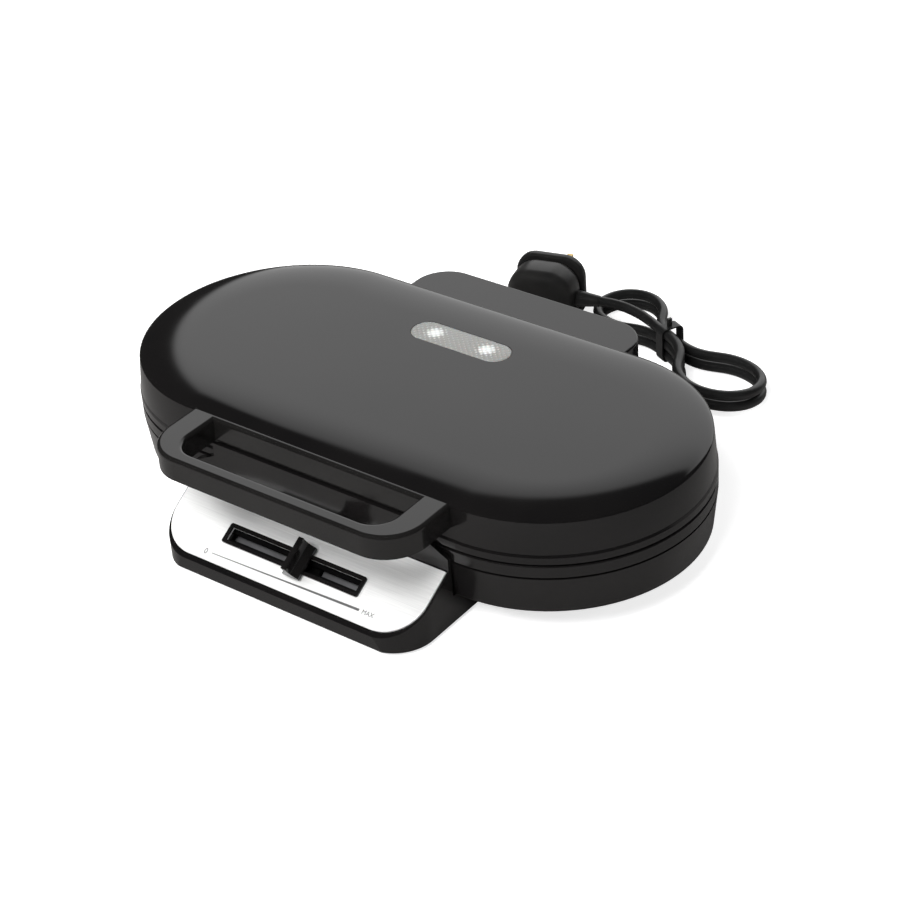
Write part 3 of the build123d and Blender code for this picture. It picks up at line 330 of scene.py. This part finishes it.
def long_shell(name, rings, segments=128):
    """A closed shell from rings of radius and height, pulled out to the long outline."""
    deselect()
    radius, height = rings[0]
    bpy.ops.mesh.primitive_circle_add(vertices=segments, radius=radius, location=(0, 0, height),
                                      rotation=(0, 0, pi / segments), fill_type="NGON")
    shell = bpy.context.active_object
    shell.name = name
    bpy.ops.object.transform_apply(location=True, rotation=True, scale=True)
    bpy.ops.object.mode_set(mode="EDIT")
    bpy.ops.mesh.select_all(action="SELECT")
    for (r0, z0), (r1, z1) in zip(rings, rings[1:]):
        bpy.ops.mesh.extrude_region_move(TRANSFORM_OT_translate={"value": (0, 0, z1 - z0)})
        bpy.ops.transform.resize(value=(r1 / r0, r1 / r0, 1), center_override=(0, 0, z1))
    bpy.ops.mesh.select_all(action="SELECT")
    bpy.ops.mesh.normals_make_consistent(inside=False)
    bpy.ops.object.mode_set(mode="OBJECT")
    for v in shell.data.vertices:
        v.co.x += end_x if v.co.x > 0 else -end_x
        v.co.y += body_y
    bpy.ops.object.shade_smooth_by_angle(angle=soft_angle)
    return shell


steps = 14
crown = []
for k in range(steps + 1):
    turn = pi / 2 * k / steps
    crown_r = wall_high_r - crown_run * (1 - cos(turn))
    crown.append((crown_r, shoulder_z + (top_z - shoulder_z) * sin(turn)))
inner = [(r - wall_t, z) for r, z in reversed(crown[:-1])]
inner = [(r, min(z, top_z - wall_t)) for r, z in inner]
rings = [(crown[-1][0] - wall_t, top_z - wall_t)]
rings += inner
rings.append((wall_low_r - wall_t, crease_z))
rings += [(wall_low_r - edge_break, crease_z), (wall_low_r, crease_z + edge_break)]
rings += crown
lid = long_shell("lid_shell", rings)
lid.data.materials.append(gloss_black)
print("lid shell faces", len(lid.data.polygons))

# %% [markdown]
# The window is a lens that lies in an opening of the lid, with a hair of room all round. One
# helper makes both the cutter and the lens, so that the lens follows its opening.

# %% Window opening in the lid
opening_half_l = 37.1 * MM
opening_half_w = 10.9 * MM
lens_gap = 0.2 * MM
lens_low = 84.3 * MM
lens_high = 88.1 * MM
lens_edge = 0.9 * MM
round_sides = 48


def pill(name, half_l, half_w, low, high, centre_y):
    """A block with round ends along x."""
    deselect()
    bpy.ops.mesh.primitive_cylinder_add(vertices=round_sides, radius=half_w, depth=high - low,
                                        location=(0, 0, (low + high) / 2),
                                        rotation=(0, 0, pi / round_sides))
    block = bpy.context.active_object
    block.name = name
    bpy.ops.object.transform_apply(location=True, rotation=True, scale=True)
    for v in block.data.vertices:
        v.co.x += (half_l - half_w) if v.co.x > 0 else (half_w - half_l)
        v.co.y += centre_y
    return block


def cut(obj, cutter):
    """Takes the cutter out of an object and deletes it."""
    pick(obj)
    change = obj.modifiers.new("cut", "BOOLEAN")
    change.operation = "DIFFERENCE"
    change.object = cutter
    change.solver = "EXACT"
    bpy.ops.object.modifier_apply(modifier=change.name)
    bpy.data.objects.remove(cutter)


cut(lid, pill("cutter", opening_half_l, opening_half_w, low=80 * MM, high=95 * MM, centre_y=window_y))
pick(lid)
bpy.ops.object.shade_smooth_by_angle(angle=soft_angle)
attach(lid, "lid")
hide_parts("lid_housing")

# %% Window lens
window = pill("window_lens", opening_half_l - lens_gap, opening_half_w - lens_gap,
              low=lens_low, high=lens_high, centre_y=window_y)
pick(window)
bevel = window.modifiers.new("edge", "BEVEL")
bevel.width = lens_edge
bevel.segments = 3
bevel.limit_method = "ANGLE"
bpy.ops.object.modifier_apply(modifier=bevel.name)
bpy.ops.object.shade_smooth_by_angle(angle=radians(40))
window.data.materials.append(frosted)
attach(window, "lid")
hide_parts("indicator_window")
print("window faces", len(window.data.polygons))

# %% [markdown]
# The faceplate carries a printed scale: a line that thickens towards the strong end, with a
# nought and a MAX as its two marks. Print has almost no height, so each mark is a film of
# ink that lies on the sheet, built on the faceplate's own slope.

# %% Printed scale
ink = finish("ink", (0.07, 0.07, 0.07), (0.1, 0.1, 0.1), (0.5, 0.6), scale=300)
plate_tilt = radians(31)
plate_low = Vector((0, -142.88 * MM + body_y, 13.97 * MM))
plate_up = Vector((0, cos(plate_tilt), sin(plate_tilt)))
plate_out = Vector((0, -sin(plate_tilt), cos(plate_tilt)))
plate_t = 1.2 * MM
ink_t = 0.04 * MM


def on_plate(x, up, out):
    """A point of the faceplate from its distance along, up the slope and out of it."""
    return plate_low + Vector((x, 0, 0)) + plate_up * up + plate_out * out


wedge_ends = ((-54.5 * MM, 5.4 * MM, 0.2 * MM), (58 * MM, 8 * MM, 0.8 * MM))
letters = (("0", -60.5 * MM, 3.6 * MM, 5 * MM), ("MAX", 60.2 * MM, 6.6 * MM, 4 * MM))
deselect()
bpy.ops.mesh.primitive_cube_add(size=1)
wedge = bpy.context.active_object
wedge.name = "scale_wedge"
for v in wedge.data.vertices:
    x, up, half = wedge_ends[v.co.x > 0]
    v.co = on_plate(x, up + (half if v.co.y > 0 else -half), plate_t + (ink_t if v.co.z > 0 else 0))
marks = [wedge]
for text, x, up, size in letters:
    deselect()
    bpy.ops.object.text_add(location=on_plate(x, up, plate_t), rotation=(plate_tilt, 0, 0))
    mark = bpy.context.active_object
    mark.data.body = text
    mark.data.size = size
    mark.data.extrude = ink_t / 2
    bpy.ops.object.convert(target="MESH")
    mark.name = "scale_mark_" + text.lower()
    bpy.ops.object.transform_apply(location=True, rotation=True, scale=True)
    marks.append(mark)
for mark in marks:
    mark.data.materials.clear()
    mark.data.materials.append(ink)
    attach(mark, "base")
print("marks", [m.name for m in marks])

# %% [markdown]
# The mains lead is one black cord from the strain relief to the plug, put away in a hank with
# two loops to each side of its tie. Its route repeats the solid's: straight runs with easy
# bends, then loops made of arcs that leave and reach the waist along one direction.

# %% Places and arcs of the lead
cord_d = 7 * MM
waist = Vector((44 * MM, 219 * MM + body_y, 4.8 * MM))
waist_turn = radians(-25)
along = Vector((cos(waist_turn), sin(waist_turn), 0))
beside = Vector((-sin(waist_turn), cos(waist_turn), 0))
layer = Vector((0, 0, 8 * MM))
waist_half = 3.9 * MM
waist_run = 8 * MM
swing_points = 4
lobe_points = 14


def lay(u, v, high):
    """A point of the hank from its distances along and beside the waist and its layer."""
    return waist + along * u + beside * v + layer * high


def arc(start, end, heading, count):
    """Points of the arc that leaves start along heading and ends at end, and its last heading."""
    chord = end - start
    forth = heading.normalized()
    side = (chord - forth * chord.dot(forth)).normalized()
    half = atan2(chord.dot(side), chord.dot(forth))
    radius = chord.length / (2 * sin(half))
    spots = []
    for k in range(1, count + 1):
        turn = 2 * half * k / count
        spots.append(start + forth * radius * sin(turn) + side * radius * (1 - cos(turn)))
    return spots, forth * cos(2 * half) + side * sin(2 * half)


def swing(start, end, heading):
    """Two arcs that leave start and reach end along one heading."""
    first, middle_heading = arc(start, (start + end) / 2, heading, swing_points)
    second, _ = arc((start + end) / 2, end, middle_heading, swing_points)
    return first + second


def lobe(side, reach, radius, low, high):
    """One loop of the hank, from the waist and back to it."""
    out = lay(side * reach, side * radius, low)
    back = lay(side * reach, -side * radius, high)
    spots = [lay(side * waist_run, side * waist_half, low)]
    spots += swing(spots[0], out, along * side)
    spots += arc(out, back, along * side, lobe_points)[0]
    spots += swing(back, lay(side * waist_run, -side * waist_half, high), along * -side)
    return spots


def eased(points):
    """Route points with each inner corner doubled, so that a spline hugs the runs."""
    spots = [points[0]]
    for a, b in zip(points, points[1:]):
        spots += [a.lerp(b, 0.3), a.lerp(b, 0.7)]
    return spots + [points[-1]]


# %% Route of the lead
relief_end = Vector((76 * MM, 142.6 * MM + body_y, 12 * MM))
lead = [relief_end] + [Vector((x * MM, y * MM + body_y, z * MM)) for x, y, z in (
    (76.5, 158.0, 10.3), (76.0, 176.0, 4.8), (68.6, 196.3, 4.8), (56.8, 208.8, 4.8))]
lead.append(lay(-1.3 * MM, -waist_half, 0))
plug_middle = Vector((-53.7 * MM, 211.8 * MM + body_y, 25.2 * MM))
plug_turn = radians(15)
plug_axis = Vector((cos(plug_turn), sin(plug_turn), 0))
sleeve_end = 40 * MM
plug_points = [lay(-waist_run, -waist_half, 2)]
plug_points += [Vector((x * MM, y * MM + body_y, z * MM)) for x, y, z in (
    (23.3, 224.4, 21.2), (10.5, 226.7, 23.0), (-2.5, 225.5, 24.8))]
plug_points.append(plug_middle + plug_axis * sleeve_end)
left_lobe = (-1, 52 * MM, 22 * MM)
right_lobe = (1, 62 * MM, 27 * MM)
route = eased(lead)
for shape, low, high in ((left_lobe, 0, 0), (right_lobe, 0, 1), (left_lobe, 1, 1), (right_lobe, 1, 2)):
    route += lobe(*shape, low, high)
route += eased(plug_points)
print("lead route", len(route), "points")

# %% Mains lead
cord_curve = bpy.data.curves.new("mains_lead", "CURVE")
cord_curve.dimensions = "3D"
cord_curve.bevel_depth = cord_d / 2
cord_curve.bevel_resolution = 6
cord_curve.resolution_u = 6
cord_curve.use_fill_caps = True
spline = cord_curve.splines.new("NURBS")
spline.points.add(len(route) - 1)
for point, spot in zip(spline.points, route):
    point.co = (*spot, 1)
spline.order_u = 3
spline.use_endpoint_u = True
mains_lead = bpy.data.objects.new("mains_lead", cord_curve)
bpy.context.scene.collection.objects.link(mains_lead)
cord_curve.materials.append(sheath)
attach(mains_lead, "base")
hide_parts("power_cord", "cord_hank", "plug_lead")

# %% [markdown]
# The plug is moulded round its pins: a flange that meets the socket, and a full grip with
# round shoulders. Both start as a drum whose quarters are pushed out to the corners, and a
# bevel softens the rims. A cone carries the lead into the grip.

# %% Plug
def rounded_block(name, half_x, half_z, corner, low_y, high_y, edge):
    """A block with round corners, its outline in x and z, and softened rims."""
    deselect()
    bpy.ops.mesh.primitive_cylinder_add(vertices=round_sides, radius=corner, depth=high_y - low_y,
                                        location=(0, (low_y + high_y) / 2, 0),
                                        rotation=(pi / 2, pi / round_sides, 0))
    block = bpy.context.active_object
    block.name = name
    bpy.ops.object.transform_apply(location=True, rotation=True, scale=True)
    for v in block.data.vertices:
        v.co.x += (half_x - corner) if v.co.x > 0 else (corner - half_x)
        v.co.z += (half_z - corner) if v.co.z > 0 else (corner - half_z)
    rim = block.modifiers.new("rim", "BEVEL")
    rim.width = edge
    rim.segments = 5
    rim.limit_method = "ANGLE"
    rim.angle_limit = radians(60)
    bpy.ops.object.modifier_apply(modifier=rim.name)
    return block


flange = rounded_block("plug_shell", half_x=25 * MM, half_z=24.5 * MM, corner=15 * MM,
                       low_y=10 * MM, high_y=16.9 * MM, edge=2 * MM)
grip = rounded_block("plug_grip", half_x=24 * MM, half_z=23.6 * MM, corner=18 * MM,
                     low_y=-17 * MM, high_y=10.5 * MM, edge=8 * MM)
sleeve_l = 20 * MM
deselect()
bpy.ops.mesh.primitive_cone_add(vertices=32, radius1=6.5 * MM, radius2=3.8 * MM, depth=sleeve_l,
                                location=(sleeve_end - sleeve_l / 2, 0, 0), rotation=(0, pi / 2, 0))
sleeve = bpy.context.active_object
for piece in (grip, sleeve, flange):
    piece.select_set(True)
bpy.context.view_layer.objects.active = flange
bpy.ops.object.join()
flange.matrix_world = Matrix.Translation(plug_middle) @ Matrix.Rotation(plug_turn, 4, "Z")
pick(flange)
bpy.ops.object.transform_apply(location=True, rotation=True, scale=True)
bpy.ops.object.shade_smooth_by_angle(angle=radians(35))
flange.data.materials.append(satin_black)
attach(flange, "base")
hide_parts("plug_body")
print("plug faces", len(flange.data.polygons))

# %% [markdown]
# A pale table carries the object. To the camera it glows a little, so that it stays white
# under the object, and in reflections it is darker, so that the gloss keeps its black.

# %% Table
table_side = 12
table_drop = 0.2 * MM
table_glow = 0.72
table_tone = (0.8, 0.8, 0.8, 1)
table_mirrored = (0.25, 0.243, 0.238, 1)
deselect()
bpy.ops.mesh.primitive_plane_add(size=table_side, location=(0, 0, -table_drop))
table = bpy.context.active_object
table.name = "table"
table_mat, tree, shader = set_up("table")
path = tree.nodes.new("ShaderNodeLightPath")
white = tree.nodes.new("ShaderNodeEmission")
white.inputs["Color"].default_value = (1, 1, 1, 1)
white.inputs["Strength"].default_value = table_glow
shader.inputs["Roughness"].default_value = 0.9
shader.inputs["Specular IOR Level"].default_value = 0.1
both = tree.nodes.new("ShaderNodeAddShader")
link(tree, shader.outputs["BSDF"], both.inputs[0])
link(tree, white.outputs["Emission"], both.inputs[1])
tone = tree.nodes.new("ShaderNodeMix")
tone.data_type = "RGBA"
tone.inputs["A"].default_value = table_tone
tone.inputs["B"].default_value = table_mirrored
link(tree, path.outputs["Is Glossy Ray"], tone.inputs["Factor"])
link(tree, tone.outputs["Result"], shader.inputs["Base Color"])
choose = tree.nodes.new("ShaderNodeMixShader")
link(tree, path.outputs["Is Camera Ray"], choose.inputs["Fac"])
link(tree, shader.outputs["BSDF"], choose.inputs[1])
link(tree, both.outputs["Shader"], choose.inputs[2])
link(tree, choose.outputs["Shader"], tree.nodes["Material Output"].inputs["Surface"])
table.data.materials.append(table_mat)

# %% [markdown]
# The gloss shows the room, so the room is made for it. A broad pale wall to the right and
# behind gives the grey sheen on the lid, and the dark rest gives the black band that runs
# over its shoulder. The wall ends at a slanted edge on its left and at an upright one on its
# right, and it fades towards the ceiling.

# %% Helpers for the room
def ramped(tree, value, low, high, start, end):
    """A number that runs from start to end while value runs from low to high."""
    node = tree.nodes.new("ShaderNodeMapRange")
    node.interpolation_type = "SMOOTHSTEP"
    node.inputs["From Min"].default_value = low
    node.inputs["From Max"].default_value = high
    node.inputs["To Min"].default_value = start
    node.inputs["To Max"].default_value = end
    link(tree, value, node.inputs["Value"])
    return node.outputs["Result"]


def beyond(tree, vector, edge, start, end):
    """Rises from 0 to 1 where a direction crosses the wall's edge, which may slant."""
    across = tree.nodes.new("ShaderNodeVectorMath")
    across.operation = "DOT_PRODUCT"
    across.inputs[1].default_value = edge
    link(tree, vector, across.inputs[0])
    return ramped(tree, across.outputs["Value"], start, end, 0.0, 1.0)


def times(tree, a, b):
    """Product of two numbers."""
    node = tree.nodes.new("ShaderNodeMath")
    node.operation = "MULTIPLY"
    link(tree, a, node.inputs[0])
    link(tree, b, node.inputs[1])
    return node.outputs["Value"]


# %% Room
wall_strength = 1.25
dark_strength = 0.04
wall_left = Vector((0.705, 0.672, 0.223))
wall_right = Vector((-1, 0.2, 0))
ceiling_height = 0.72
world = bpy.data.worlds.new("room")
bpy.context.scene.world = world
world.use_nodes = True
tree = world.node_tree
coords = tree.nodes.new("ShaderNodeTexCoord")
heading = tree.nodes.new("ShaderNodeSeparateXYZ")
link(tree, coords.outputs["Generated"], heading.inputs["Vector"])
left_edge = beyond(tree, coords.outputs["Generated"], wall_left, start=-0.012, end=0.02)
right_edge = beyond(tree, coords.outputs["Generated"], wall_right, start=-0.06, end=0.0)
dimming = ramped(tree, heading.outputs["Z"], 0.56, ceiling_height, start=1.0, end=0.6)
ceiling = ramped(tree, heading.outputs["Z"], 0.68, ceiling_height, start=1.0, end=0.0)
wall_lit = tree.nodes.new("ShaderNodeMath")
wall_lit.operation = "MULTIPLY_ADD"
wall_lit.inputs[1].default_value = wall_strength
wall_lit.inputs[2].default_value = dark_strength
sideways = times(tree, left_edge, right_edge)
upwards = times(tree, dimming, ceiling)
link(tree, times(tree, sideways, upwards), wall_lit.inputs[0])
path = tree.nodes.new("ShaderNodeLightPath")
shown = tree.nodes.new("ShaderNodeMix")
shown.data_type = "FLOAT"
shown.inputs["B"].default_value = 1.0
link(tree, path.outputs["Is Camera Ray"], shown.inputs["Factor"])
link(tree, wall_lit.outputs["Value"], shown.inputs["A"])
link(tree, shown.outputs["Result"], tree.nodes["Background"].inputs["Strength"])
tree.nodes["Background"].inputs["Color"].default_value = (1, 1, 1, 1)


# %% [markdown]
# Three soft panels light the object from the front, the left and the right. They are kept out
# of reflections, so that the gloss shows only the room and the table.

# %% Lights
def panel(name, where, aim, size, power):
    """A soft area light that looks at a point and stays out of reflections."""
    data = bpy.data.lights.new(name, "AREA")
    data.shape = "RECTANGLE"
    data.size, data.size_y = size
    data.energy = power
    lamp = bpy.data.objects.new(name, data)
    lamp.location = where
    lamp.rotation_euler = (Vector(aim) - Vector(where)).to_track_quat("-Z", "Y").to_euler()
    lamp.visible_glossy = False
    bpy.context.scene.collection.objects.link(lamp)
    return lamp


panel("over_front", where=(0.1, -1.5, 1.9), aim=(0, -0.1, 0), size=(1.4, 1.0), power=75)
panel("over_left", where=(-1.3, -0.9, 1.5), aim=(0, -0.1, 0), size=(0.9, 0.9), power=26)
panel("fill_right", where=(1.8, 0.2, 0.9), aim=(0, 0, 0), size=(0.8, 0.8), power=8)
bpy.context.scene.view_settings.view_transform = "Standard"
